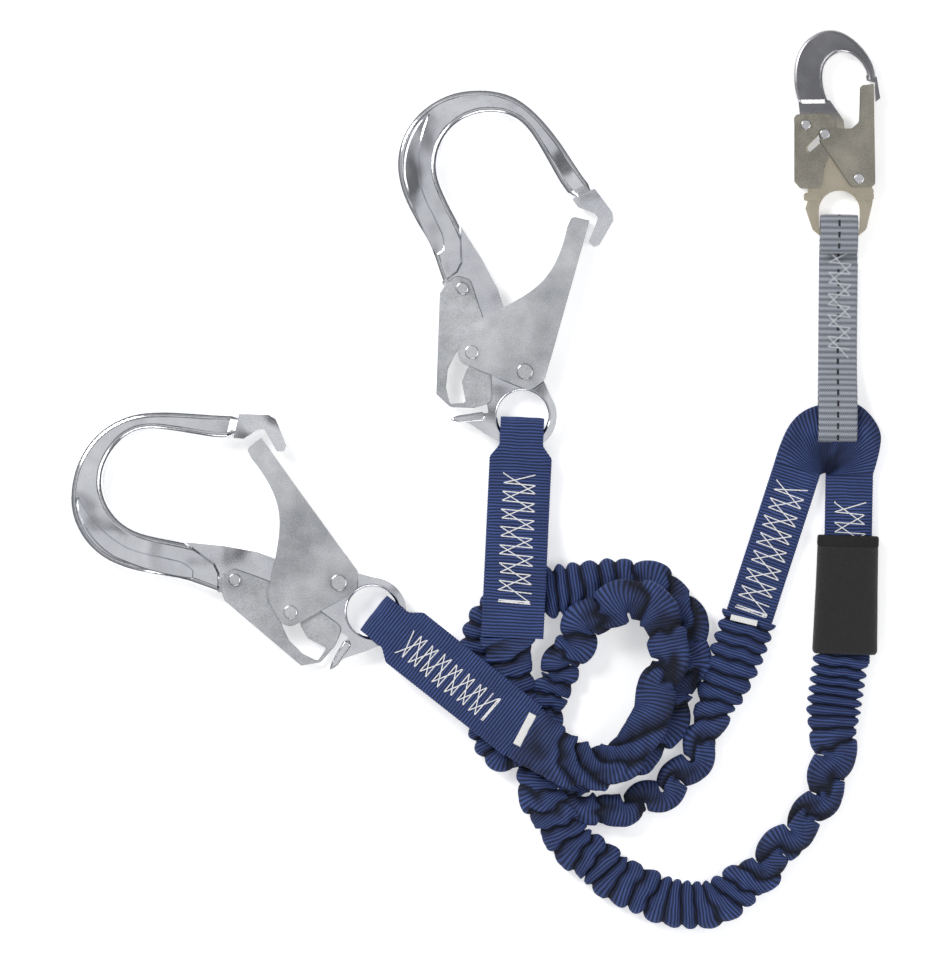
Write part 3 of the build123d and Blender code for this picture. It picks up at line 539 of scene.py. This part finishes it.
def make_leg(name, route, pleats, seed):
    """One tubular sheath, gathered over its stretched core: replaces the plain CAD tube and core."""
    rng = np.random.default_rng(seed)
    points, ring_gap, end_fade, floor_gap = 72, 0.75 * MM, 14 * MM, 0.25 * MM
    diameter, bend_share, full_fold, fine_share = 34 * MM, 0.80, 3.0, 0.14
    sink_across, sink_up, lift_height, shear_reach = 0.85, 0.95, 0.4, 5
    base, distance = resample(spline_line([place(*point) for point in route]), ring_gap)
    length = distance[-1]

    def drift(pitch, amount):
        """A slow random change along the leg."""
        return wander(rng, length, pitch, amount)(distance)

    heading = unit(np.gradient(base, axis=0))
    side = unit(np.cross(UP, heading))

    # The tube zigzags from side to side where it is loosely crumpled.
    swing, swing_pitch = pleats("sway", distance) * MM, pleats("sway_pitch", distance) * MM
    turns = np.cumsum(np.gradient(distance) / swing_pitch) + drift(pitch=0.05, amount=0.22)
    sway = swing * np.sin(math.tau * turns) * (0.8 + drift(pitch=0.06, amount=0.35))
    fade = np.clip(np.minimum(distance, length - distance) / end_fade, 0, 1)
    line = base + side * (sway * fade)[:, None]
    line = np.stack([smooth(line[:, i], passes=6) for i in range(3)], axis=1)
    heading = unit(np.gradient(line, axis=0))
    side = unit(np.cross(UP, heading))
    rise = unit(np.cross(heading, side))
    turning = np.gradient(np.unwrap(np.arctan2(heading[:, 1], heading[:, 0])))
    curve = smooth(turning / np.gradient(distance), passes=8)

    # On the inside of a bend the cloth has less room than its own half width.
    across, up = rounded_section(points, (0.85, 0.72))
    half = pleats("half", distance) * MM
    inner_room = bend_share / np.maximum(np.abs(curve), 1e-6)
    pinch = smooth(np.minimum(half, inner_room), passes=4)
    reach = np.where((across[None, :] * curve[:, None]) > 0, pinch[:, None], half[:, None])

    # Rolls are half rounds with tight valleys; loose cloth has slanted tucks that lap over.
    pitch, depth, lean, tuck = (
        pleats(column, distance) for column in ("pitch", "depth", "lean", "tuck")
    )
    uneven = 1 + drift(pitch=0.019, amount=0.30)
    count = np.cumsum(np.gradient(distance) / (pitch * MM * uneven))
    slant = lean * (0.35 + drift(pitch=0.045, amount=1.0))
    wobble = sum(
        drift(pitch=0.016, amount=0.16)[:, None] * np.sin(k * across * 2.2 + k)[None, :]
        for k in (1, 2, 3)
    )
    phase = count[:, None] + slant[:, None] * across[None, :] + wobble * (0.35 + lean)[:, None]
    roll = np.sin(math.pi * (phase % 1)) ** 0.75
    saw = phase % 1
    lap = saw ** 0.55 * np.clip((1 - saw) / 0.16, 0, 1) ** 0.6
    ridge = roll * (1 - tuck)[:, None] + lap * tuck[:, None]
    strength = 1 + drift(pitch=0.014, amount=0.3)
    sink = (depth * MM * strength)[:, None] * (1 - ridge)

    # A second, finer set of creases at another slant.
    fine_phase = count[:, None] * 1.9 - 1.3 * slant[:, None] * across[None, :] + wobble
    fine = np.abs(np.sin(math.pi * fine_phase)) ** 0.8
    sink = sink + (fine_share * depth * MM * tuck)[:, None] * (1 - fine)
    # Painted shade: points deep in the valleys between rolls and in the fine creases are stored so that
    # the colour is painted darker there, more where the pleats are deep.
    folded = np.clip(depth / full_fold, 0, 1)[:, None]
    painted_fold_shade = np.clip((1 - ridge) * 1.9 - 0.40, 0, 1) * folded
    painted_fold_shade = np.clip(painted_fold_shade + 0.25 * (1 - fine) * tuck[:, None] * folded, 0, 1)

    height = pleats("height", distance) * MM
    width_now = reach - sink * sink_across
    height_now = height[:, None] - sink * sink_up
    lift = drift(pitch=0.03, amount=1.0) * lift_height * MM
    offset_side = across[None, :] * width_now
    offset_rise = up[None, :] * height_now + lift[:, None]
    rings = line[:, None, :] + side[:, None, :] * offset_side[..., None]
    rings = rings + rise[:, None, :] * offset_rise[..., None]
    rings[..., 2] = np.maximum(rings[..., 2], floor_gap)

    # The weave follows the cloth's own length, which is longer than the tube where it is gathered.
    steps = np.linalg.norm(np.diff(rings, axis=0), axis=2)
    shown = steps[:, up > 0].mean(axis=1)
    cloth = np.concatenate(([0], np.cumsum(shown)))
    shear = drift(pitch=0.030, amount=1.0) * lean * shear_reach * MM
    along = cloth[:, None] + shear[:, None] * across[None, :]
    bow = (across[None, :] ** 2) * (drift(pitch=0.025, amount=2.0) * MM)[:, None]
    mesh = skin(name, rings, along + bow, across[None, :] * half[:, None])
    store_painted_shade(mesh, painted_fold_shade)
    leg = add_piece(name, mesh, "navy_sheath", "webbing",
                    (f"{name}_sheath", f"{name}_core"))


def store_painted_shade(mesh, painted_fold_shade):
    """Stores painted shade for each point, from how deep in a fold it lies; the webbing's colour is
    painted darker by it.
    """
    shade = mesh.attributes.new("painted_fold_shade", "FLOAT", "POINT")
    shade.data.foreach_set("value", painted_fold_shade.astype(np.float32).ravel())


leg_z, over_z = 8.05, 25.1
upper_leg_route = [
    (20.6, -156.0, 19.4), (20.8, -169.0, 15.0), (24.5, -184.0, 11.0), (28.6, -203.0, leg_z),
    (28.8, -220.5, leg_z), (21.0, -233.5, leg_z), (11.0, -226.0, leg_z), (5.5, -209.0, leg_z),
    (0.8, -190.0, leg_z), (0.6, -166.0, leg_z), (6.8, -147.0, leg_z), (18.0, -134.5, leg_z),
    (41.6, -127.4, leg_z),
    (80.6, -122.9, leg_z), (113.1, -119.0, leg_z), (133.9, -136.5, leg_z), (140.4, -164.5, leg_z),
    (131.0, -194.0, leg_z), (121.0, -221.0, leg_z), (101.4, -238.6, leg_z), (80.0, -241.5, leg_z),
    (66.0, -246.5, leg_z), (62.5, -260.0, leg_z), (76.0, -271.0, leg_z), (103.4, -265.5, leg_z),
    (126.8, -254.8, leg_z), (146.0, -232.1, leg_z), (152.6, -205.0, leg_z), (168.1, -173.4, leg_z),
    (177.9, -143.0, 6.2),
]
lower_leg_route = [
    (31.0, -216.8, over_z), (47.5, -229.8, over_z), (67.5, -240.5, over_z), (90.0, -239.0, over_z),
    (107.9, -223.0, over_z), (116.4, -195.0, over_z), (126.4, -165.0, over_z),
    (123.5, -142.0, over_z), (107.0, -131.3, over_z), (86.0, -134.0, over_z), (68.6, -150.0, 15.5),
    (56.0, -173.0, leg_z), (48.0, -195.0, leg_z), (41.0, -218.5, leg_z), (38.4, -243.8, leg_z),
    (46.8, -269.8, leg_z), (67.6, -295.8, leg_z), (104.0, -321.5, leg_z), (147.0, -334.5, leg_z),
    (176.0, -317.0, leg_z), (200.9, -291.2, leg_z), (224.9, -263.3, leg_z), (234.0, -233.0, leg_z),
    (231.8, -214.0, leg_z), (233.0, -198.0, leg_z), (237.8, -168.0, leg_z),
]

# The columns are those of Pleats: millimetres, but lean and tuck are shares.
upper_pleats = Pleats([
    (0, 18.5, 20.0, 1.2, 0.6, 0.0, 40, 1.0, 3.2),
    (10, 16.5, 14.0, 3.6, 0.7, 0.0, 40, 1.0, 5.5),
    (26, 14.5, 12.0, 4.2, 0.4, 0.5, 32, 0.6, 7.0),
    (60, 13.5, 10.0, 4.6, 0.2, 0.5, 32, 0.1, 7.4),
    (186, 14.0, 10.0, 4.6, 0.15, 0.4, 32, 0.0, 7.4),
    (216, 17.5, 10.2, 4.8, 0.1, 0.0, 40, 0.0, 7.8),
    (262, 17.5, 10.2, 4.8, 0.1, 0.0, 40, 0.0, 7.8),
    (278, 15.5, 17.0, 4.8, 0.4, 2.0, 30, 0.6, 7.4),
    (316, 15.0, 26.0, 4.4, 0.5, 3.0, 40, 1.0, 7.2),
    (376, 13.5, 24.0, 4.4, 0.5, 3.0, 34, 1.0, 7.0),
    (436, 11.5, 16.0, 4.0, 0.4, 1.0, 34, 0.8, 7.0),
    (486, 11.5, 20.0, 4.0, 0.4, 2.0, 32, 0.9, 7.0),
    (511, 11.5, 30.0, 4.0, 0.5, 3.4, 33, 1.0, 7.0),
    (578, 11.8, 26.0, 4.0, 0.5, 3.6, 29, 1.0, 7.0),
    (598, 13.5, 14.0, 4.4, 0.3, 1.2, 29, 0.5, 7.4),
    (610, 16.0, 9.0, 4.8, 0.12, 0.0, 40, 0.0, 7.8),
    (636, 18.0, 8.4, 5.0, 0.12, 0.0, 40, 0.0, 7.8),
    (680, 18.6, 8.4, 5.0, 0.08, 0.0, 40, 0.0, 4.0),
])
lower_pleats = Pleats([
    (0, 19.5, 60.0, 0.2, 0.3, 0.0, 60, 1.0, 3.4),
    (14, 19.0, 34.0, 3.0, 0.6, 0.0, 60, 1.0, 5.6),
    (34, 18.0, 20.0, 5.4, 0.6, 0.0, 60, 1.0, 7.0),
    (62, 16.0, 24.0, 5.0, 0.7, 1.0, 60, 1.0, 7.2),
    (85, 14.2, 30.0, 4.4, 0.6, 1.0, 60, 1.0, 7.2),
    (115, 13.8, 46.0, 3.0, 0.4, 2.0, 46, 1.0, 7.2),
    (150, 14.0, 28.0, 5.0, 0.6, 3.4, 42, 1.0, 7.4),
    (180, 15.0, 34.0, 4.6, 0.6, 2.0, 42, 1.0, 7.4),
    (215, 15.5, 26.0, 5.0, 0.6, 3.0, 34, 1.0, 7.4),
    (250, 13.5, 14.0, 5.0, 0.4, 3.0, 30, 0.6, 7.4),
    (300, 13.2, 11.0, 4.8, 0.3, 1.0, 30, 0.2, 7.4),
    (350, 15.5, 16.0, 5.0, 0.6, 1.5, 36, 0.8, 7.6),
    (410, 16.5, 13.0, 5.0, 0.6, 1.2, 36, 0.6, 7.7),
    (450, 16.5, 10.5, 4.8, 0.45, 0.6, 36, 0.3, 7.8),
    (508, 16.0, 11.0, 4.8, 0.45, 0.8, 36, 0.4, 7.8),
    (530, 13.0, 26.0, 4.6, 0.5, 3.8, 29, 1.0, 7.4),
    (592, 12.5, 28.0, 4.6, 0.5, 4.2, 28, 1.0, 7.4),
    (618, 15.0, 24.0, 4.0, 0.5, 2.4, 34, 1.0, 7.4),
    (636, 16.5, 12.0, 4.2, 0.2, 0.5, 42, 0.5, 7.6),
    (648, 18.0, 8.6, 5.0, 0.08, 0.0, 42, 0.0, 7.8),
    (700, 18.6, 8.6, 5.0, 0.06, 0.0, 42, 0.0, 7.2),
])


# ---------------------------------------------------------------- flat straps
RIBBON_GAP = 0.55 * MM


def ribbon(name, line, half_width, thickness, flat_up, rib, rib_depth, points=36, wave=None):
    """A flat band swept along a line; its width and thickness may change with the distance."""
    line, distance = resample(line, RIBBON_GAP)
    heading = unit(np.gradient(line, axis=0))
    across_way = unit(np.broadcast_to(np.asarray(flat_up, float), line.shape))
    out = unit(np.cross(heading, across_way))
    across, thick = rounded_section(points, (0.75, 0.35))
    widths = half_width(distance) if callable(half_width) else np.full(len(distance), half_width)
    bulk = thickness(distance) / 2 if callable(thickness) else np.full(len(distance), thickness / 2)
    ribs = rib_depth * np.sin(math.tau * distance / rib)
    bulk = bulk + ribs
    widths = widths + ribs * 1.2
    rings = line[:, None, :] + across_way[:, None, :] * (across[None, :] * widths[:, None])[..., None]
    puff = thick[None, :] * bulk[:, None]
    if wave is not None:
        puff = puff + wave(distance[:, None], across[None, :])
    rings = rings + out[:, None, :] * puff[..., None]
    rings[..., 2] = np.maximum(rings[..., 2], 0.0)
    return skin(name, rings, distance, across[None, :] * widths[:, None])


class StrapFrame:
    """Places points given as distance from an eye, sideways and height, in millimetres."""

    def __init__(self, origin, heading):
        self.origin = np.array((*origin, 0.0))
        angle = math.radians(heading)
        self.out = np.array((math.cos(angle), math.sin(angle), 0.0))
        self.left = np.array((-math.sin(angle), math.cos(angle), 0.0))

    def points(self, values):
        values = np.asarray(values, float)
        spot = self.origin + self.out * values[:, :1] + self.left * values[:, 1:2] + UP * values[:, 2:3]
        return np.array([place(*point) for point in spot])


def arc(centre, radius, start, end, count=24):
    """Points (distance, 0, height) round a loop seen from the side."""
    turn = np.radians(np.linspace(start, end, count))
    return [(centre[0] + radius * math.cos(a), 0.0, centre[1] + radius * math.sin(a)) for a in turn]


def side_curve(points):
    """A smooth curve through control points (distance, height) in a strap's side view."""
    line = spline_line([(s * MM, 0, z * MM) for s, z in points]) / MM
    return [tuple(point) for point in line]


def make_thread(name, line, material, radius=0.42):
    """Sewing thread laid along points: each stitch is a low hump between its two holes."""
    ring_gap, stitch, sides = 0.45 * MM, 3.1 * MM, 6
    line, distance = resample(line, ring_gap)
    hump = np.abs(np.sin(math.pi * distance / stitch)) ** 0.5
    line = line + UP * ((hump - 0.75) * 0.5 * MM)[:, None]
    heading = unit(np.gradient(line, axis=0))
    side = unit(np.cross(UP, heading))
    rise = np.cross(heading, side)
    turn = np.linspace(0, math.tau, sides, endpoint=False)
    size = radius * MM * (0.75 + 0.25 * hump)
    rings = line[:, None, :] + size[:, None, None] * (
        side[:, None, :] * np.cos(turn)[None, :, None] + rise[:, None, :] * np.sin(turn)[None, :, None]
    )
    mesh = skin(name, rings, distance, np.zeros(rings.shape[:2]))
    add_piece(name, mesh, material, "webbing")


def crossed_stitches(rng, start, end, half, period, middle=0.0):
    """Two zigzag passes half a period apart, so that their diagonals cross: (along, sideways)."""
    count = round((end - start) / period)
    step = (end - start) / count

    def spot(turns, side):
        along = start + turns * step + rng.uniform(-0.4, 0.4)
        return along, middle + side * half * rng.uniform(0.92, 1.03)

    first, second = [spot(-0.05, -1)], [spot(0.02, 1)]
    for k in range(count):
        first += [spot(k, -1), spot(k + 1.12, 1)]
        second += [spot(k + 0.52, -1), spot(k + 0.62, 1)]
    # A few short passes to and fro lock the end of the thread.
    bar_passes, knot_passes, past_end = 4, 7, 2.0
    for k in range(bar_passes):
        first.append(spot(count + 0.04 + 0.07 * k, 1 if k % 2 else -1))
    for _ in range(knot_passes):
        along = end + past_end + rng.uniform(-1.4, 1.4)
        first.append((along, middle + half * rng.uniform(0.6, 0.98)))
    return first, second


def lay_on(strap, spots, surface):
    """Stitch points set on a strap's top surface, closely spaced so that they follow it."""
    gap, above = 1.0, 0.15
    spots = np.array(spots, float)
    line, _ = resample(np.column_stack((spots, np.zeros(len(spots)))), gap)
    return strap.points([(s, w, surface(s) + above) for s, w, _ in line])


def make_eye_strap(name, eye, heading, top, bottom, stitches, seed):
    """One wide strap: over the hook's eye, round it and back beneath, with its box stitching."""
    rng = np.random.default_rng(seed)
    strap = StrapFrame(eye, heading)
    loop, loop_radius, top_half_thickness = (10.1, 9.6), 8.65, 1.45
    fold_depth, drape_depth = 0.55, 0.35
    line = strap.points(side_curve(top) + arc(loop, loop_radius, 90, 270) + side_curve(bottom))
    line, distance = resample(line, RIBBON_GAP)
    away = (line - strap.points([(0, 0, 0)])[0]) @ strap.out / MM
    # The strap is narrow in the hook's eye, which turns round it, and spreads beyond.
    knots, halves = (0, 18.5, 20, 27, 200), (14.1, 14.1, 14.8, 20.2, 20.2)
    profile = smooth(np.interp(away, knots, halves), passes=4) * MM

    def half_width(at):
        return np.interp(at, distance, profile)

    creases = wander(rng, 400 * MM, 0.02, 1.0)

    def wave(at, across):
        out = np.interp(at, distance, away)
        folds = np.sin(across * 7.0 + creases(at + across * 0.004)) * fold_depth * MM
        drape = creases(at * 0.7 + 0.05) * across * drape_depth * MM
        return (folds * np.interp(out, (8, 20, 27, 44), (0.15, 0.15, 0.8, 0.0))
                + drape * np.interp(out, (20, 32), (0, 1)))

    def thickness(at):
        return np.interp(np.interp(at, distance, away), (20, 30), (1.55, 2.4)) * MM

    mesh = ribbon(f"{name}_webbing", line, half_width, thickness, strap.left, NAVY_RIB, 0.14 * MM,
                  points=40, wave=wave)
    add_piece(f"{name}_webbing", mesh, "navy_webbing", "webbing", (name,))
    heights = np.array([(s, z) for s, _, z in side_curve(top)])
    order = np.argsort(heights[:, 0])

    def surface(s):
        return np.interp(s, heights[order, 0], heights[order, 1]) + top_half_thickness

    for index, spots in enumerate(crossed_stitches(rng, *stitches)):
        make_thread(f"{name}_stitches_{index + 1}", lay_on(strap, spots, surface), "white_thread")


def make_top_strap(name, top, bottom, stitches, seed, lengthen):
    """A leg's flat sewn head: two layers of webbing and its stitching."""
    rng = np.random.default_rng(seed)
    half_width, layers, gap, stitch_height = 15.4 * MM, ((1.7, 4.4), (4.5, 7.4)), 0.1 * MM, 7.5
    heading = math.degrees(math.atan2(bottom[1] - top[1], bottom[0] - top[0]))
    strap = StrapFrame(top, heading)
    length = math.dist(top, bottom)
    ends = (-lengthen[0], length / 2, length + lengthen[1])
    for layer, (low, high) in enumerate(layers):
        line = strap.points([(end, 0, (low + high) / 2) for end in ends])

        def wave(at, across, waves=wander(rng, 0.3, 0.03, 0.25)):
            return waves(at + across * 0.01) * MM

        mesh = ribbon(f"{name}_layer_{layer + 1}", line, half_width, (high - low) * MM - gap,
                      strap.left, NAVY_RIB, 0.13 * MM, wave=wave)
        add_piece(f"{name}_layer_{layer + 1}", mesh, "navy_webbing", "webbing", (name,))
    for index, spots in enumerate(crossed_stitches(rng, *stitches)):
        line = lay_on(strap, spots, lambda s: stitch_height)
        make_thread(f"{name}_stitches_{index + 1}", line, "white_thread")


def make_core_tag(name, ends, height, half_width):
    """A slip of the white tape core that shows where a sheath is sewn into its strap."""
    (x0, y0), (x1, y1) = ends
    thickness, rib, rib_depth = 1.6 * MM, 1.3 * MM, 0.08 * MM
    line = np.array([
        place(x0 + (x1 - x0) * t, y0 + (y1 - y0) * t, height) for t in np.linspace(0, 1, 12)
    ])
    flat = unit(np.cross(line[-1] - line[0], UP))
    mesh = ribbon(name, line, half_width * MM, thickness, flat, rib, rib_depth, points=24)
    add_piece(name, mesh, "white_core", "webbing")


SNAP_EYE = (236.3, 120.9)


def make_connector():
    """The grey strap: looped through the snap's eye and round the legs' bight, then sewn."""
    rng = np.random.default_rng(31)
    strap = StrapFrame(SNAP_EYE, 269.5)
    eye, eye_radius, bight, bight_radius = (8.5, 7.2), 5.35, (143.0, 9.3), 6.75
    thickness, rib, rib_depth, stitch_height = 2.0 * MM, 3.8 * MM, 0.10 * MM, 5.75
    lower = side_curve([(33, 1.5), (50, 1.5), (80, 1.5), (106, 1.5), (121, 2.4), (143, 2.55)])
    upper = side_curve([(143, 16.05), (121, 16.0), (102, 4.7), (70, 4.7), (34, 4.7)])
    line = strap.points(
        side_curve([(27.0, 7.4), (24, 9.6), (17, 12.4), (8.5, 12.55)])
        + arc(eye, eye_radius, 90, 270)
        + [(18.0, 0.0, 1.6)] + lower
        + arc(bight, bight_radius, -90, 90)
        + upper
    )

    def half_width(at):
        return np.interp(at / MM, (45, 60), (12.3, 12.6)) * MM

    mesh = ribbon("connector_strap_webbing", line, half_width, thickness, strap.left, rib, rib_depth,
                  points=30)
    add_piece("connector_strap_webbing", mesh, "grey_webbing", "webbing",
              ("connector_strap",))
    stitches = crossed_stitches(rng, start=25.7, end=95.0, half=7.5, period=13.9, middle=0.8)
    for column, spots in enumerate(stitches):
        line = lay_on(strap, spots, lambda s: stitch_height)
        make_thread(f"connector_stitches_{column + 1}", line, "grey_thread", radius=0.38)


# ---------------------------------------------------------------- bight, label cover
def make_bight():
    """The legs' webbing, fanned and gathered where it turns through the connector's loop."""
    inner = spline_line([place(*p) for p in (
        (224.2, -50.6, 5.6), (225.4, -50.0, 6.2), (226.8, -49.4, 7.4), (228.2, -49.4, 8.0),
        (228.7, -49.8, 7.2), (228.6, -50.3, 6.2), (228.4, -51.0, 5.6),
    )])
    outer = spline_line([place(*p) for p in (
        (194.4, -42.0, 5.6), (199.5, -24.0, 6.6), (211.0, -9.0, 8.0), (228.0, -3.4, 9.4),
        (248.0, -2.0, 9.6), (264.0, -20.0, 9.6), (263.0, -36.0, 8.0), (258.6, -50.0, 5.6),
    )])
    count, points, rib_count, rib_depth = 260, 40, 42, 0.16 * MM
    deepest, half_width = 1.6, 15.5 * MM
    edges = []
    for edge in (inner, outer):
        edge, _ = resample(edge, 0.1 * MM)
        edges.append(edge[np.linspace(0, len(edge) - 1, count).astype(int)])
    inner, outer = edges
    across, thick = rounded_section(points, (0.8, 0.5))
    middle, reach = (inner + outer) / 2, (outer - inner) / 2
    turn = np.linspace(0, 1, count)
    swell = np.interp(turn, (0, 0.2, 0.4, 0.6, 0.8, 1), (2.7, 3.2, 4.0, 4.2, 3.4, 2.7)) * MM
    rng = np.random.default_rng(8)
    folds = wander(rng, 1.0, 0.09, 1.0)
    rings = middle[:, None, :] + reach[:, None, :] * across[None, :, None]
    rib = np.sin(math.tau * turn * rib_count) * rib_depth
    crease = np.interp(turn, (0, 0.25, 0.5, 0.8, 1), (0, 0.8, deepest, 1.2, 0)) * MM
    gathers = np.sin(across[None, :] * 6.0 + 3 * folds(turn)[:, None])
    height = thick[None, :] * (swell + rib)[:, None] + crease[:, None] * gathers * 0.5
    rings = rings + UP * height[..., None]
    distance = turn * rib_count * NAVY_RIB
    mesh = skin("legs_bight_webbing", rings, distance, across[None, :] * np.full((count, 1), half_width))
    # Painted shade: the folds are painted darkest on the inside of the turn and in the gathers' hollows.
    painted_turn_shade = np.interp(turn, (0.15, 0.35, 0.8, 0.95), (0, 1, 1, 0))[:, None]
    painted_turn_shade = painted_turn_shade * np.clip(-0.1 - across, 0, 1)[None, :]
    painted_gather_shade = (0.5 - 0.5 * gathers) * crease[:, None] / (deepest * MM)
    store_painted_shade(mesh, np.clip(painted_turn_shade * 1.5 + painted_gather_shade * 0.5, 0, 1))
    add_piece("legs_bight_webbing", mesh, "navy_webbing", "webbing", ("legs_bight",))


def sleeve(name, centre_line, half_widths, low, high, wall, points=64):
    """A soft rectangular tube, open at both ends, with its own wall."""
    ring_gap = 0.6 * MM
    line = np.asarray(centre_line)
    heading = unit(np.gradient(line, axis=0))
    side = unit(np.cross(UP, heading))
    across, up = rounded_section(points, (0.45, 0.45))
    count = len(line)
    outer, inner = [], []
    for i in range(count):
        mid, tall = (low[i] + high[i]) / 2, (high[i] - low[i]) / 2
        for store, cut in ((outer, 0.0), (inner, wall)):
            ring = line[i] + side[i] * (across * (half_widths[i] - cut))[:, None]
            ring = ring + UP * (mid + up * (tall - cut))[:, None]
            store.append(ring)
    loop = outer + inner[::-1]
    vertices = np.concatenate(loop)
    total = len(loop)
    faces = []
    for i in range(total):
        k = (i + 1) % total
        for j in range(points):
            m = (j + 1) % points
            faces.append((i * points + j, i * points + m, k * points + m, k * points + j))
    mesh = bpy.data.meshes.new(name)
    mesh.from_pydata(vertices.tolist(), [], faces)
    order = np.concatenate((np.arange(count), np.arange(count)[::-1]))
    set_weave(mesh, np.repeat(order, points) * ring_gap, np.tile(across * half_widths[0], total))
    return mesh


def make_label_cover():
    """The black twill cover over the right leg's head, and its binding."""
    strap = StrapFrame((242.0, -96.2), -91.7)
    rng = np.random.default_rng(17)
    length, rounded, corner, above_floor, count, wall = 71.0, 3.0, 1.6, 0.1, 120, 1.0 * MM
    s = np.linspace(0, length, count)
    line = strap.points([(value, 0, 0) for value in s])
    rounding = corner * np.clip((s - (length - rounded)) / rounded, 0, 1) ** 2
    half = (19.7 + 1.4 * s / length - rounding + wander(rng, 80, 14, 0.25)(s)) * MM
    pillow = np.sin(math.pi * np.clip(s / length, 0, 1)) ** 0.4
    high = (13.0 + 1.7 * pillow) * MM
    mesh = sleeve("label_cover_shell", line, half, np.full(count, above_floor * MM), high, wall)
    add_piece("label_cover_shell", mesh, "black_cover", "webbing", ("label_cover",))

    start, end, count, wall = -6.2, 1.4, 24, 0.9 * MM
    line = strap.points([(value, 0, 0) for value in np.linspace(start, end, count)])
    swell = 1 - np.abs(np.linspace(-1, 1, count)) ** 6
    half, high = (19.0 + 1.0 * swell) * MM, (13.2 + 1.3 * swell) * MM
    mesh = sleeve("label_cover_tape", line, half, np.full(count, 0.0), high, wall)
    add_piece("label_cover_tape", mesh, "black_binding", "webbing",
              ("label_cover_binding",))


# ---------------------------------------------------------------- steel
def dress_steel():
    """Materials for the machined parts, whose shapes stay the CAD's own."""
    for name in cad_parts:
        node = bpy.data.objects.get(name)
        if node is None or "hook" not in name:
            continue
        kind = "rivet_steel"
        if name.endswith("body"):
            kind = "forged_steel"
        elif name.endswith("gate") or name.endswith("lever"):
            kind = "plated_steel"
        if name.startswith("snap"):
            kind = {"forged_steel": "snap_forging", "plated_steel": "snap_plate"}.get(kind, kind)
        node.data.materials.clear()
        node.data.materials.append(MATERIALS[kind])


def snap_look():
    """The snap hook's own forging material, which changes between its neck and its bow."""
    snap = StrapFrame(SNAP_EYE, 90.5)
    MATERIALS["snap_forging"] = snap_forging_material(*snap.points([(52, 0, 0), (66, 0, 0)]))


make_camera()
make_stage()
snap_look()
make_leg("upper_leg", upper_leg_route, upper_pleats, seed=5)
make_leg("lower_leg", lower_leg_route, lower_pleats, seed=11)
# Stitches: start, end, half width, period, and how far off the strap's middle.
make_eye_strap(
    "upper_eye_strap", eye=(30.4, -12.4), heading=267.3,
    top=[(144.0, 21.1), (120, 21.2), (92, 21.4), (70, 13.3), (50, 11.2), (26, 17.0), (17, 18.3),
         (10.1, 18.25)],
    bottom=[(10.1, 0.95), (17, 0.95), (26, 2.2), (50, 8.4), (70, 10.4), (93, 18.4), (120, 18.3),
            (144.0, 18.3)],
    stitches=(37.5, 119, 11.0, 11.7), seed=3,
)
make_eye_strap(
    "lower_eye_strap", eye=(-67.3, -139.6), heading=321.9,
    top=[(124.5, 26.6), (100, 26.7), (80, 26.4), (48, 22.1), (24, 18.9), (16, 18.3), (10.1, 18.25)],
    bottom=[(10.1, 0.95), (18.8, 0.85), (24, 3.3), (48, 18.7), (84, 23.8), (110, 23.7), (124.5, 23.7)],
    stitches=(28.3, 98, 9.8, 10.4, -2.0), seed=4,
)
make_top_strap(
    "left_top_strap", top=(210.6, -42.3), bottom=(178.0, -142.8),
    stitches=(15.6, 100, 11.2, 12.6), seed=21, lengthen=(3, 2),
)
make_top_strap(
    "right_top_strap", top=(243.1, -48.8), bottom=(240.9, -171.3),
    stitches=(19.7, 58, 10.3, 12.6, 0.9), seed=22, lengthen=(1, 2),
)
make_core_tag("lower_core_end", ((36.9, -205.4), (26.4, -225.5)), height=27.8, half_width=2.6)
make_core_tag("left_core_end", ((165.6, -143.0), (182.8, -147.2)), height=11.8, half_width=1.9)
make_connector()
make_bight()
make_label_cover()
dress_steel()
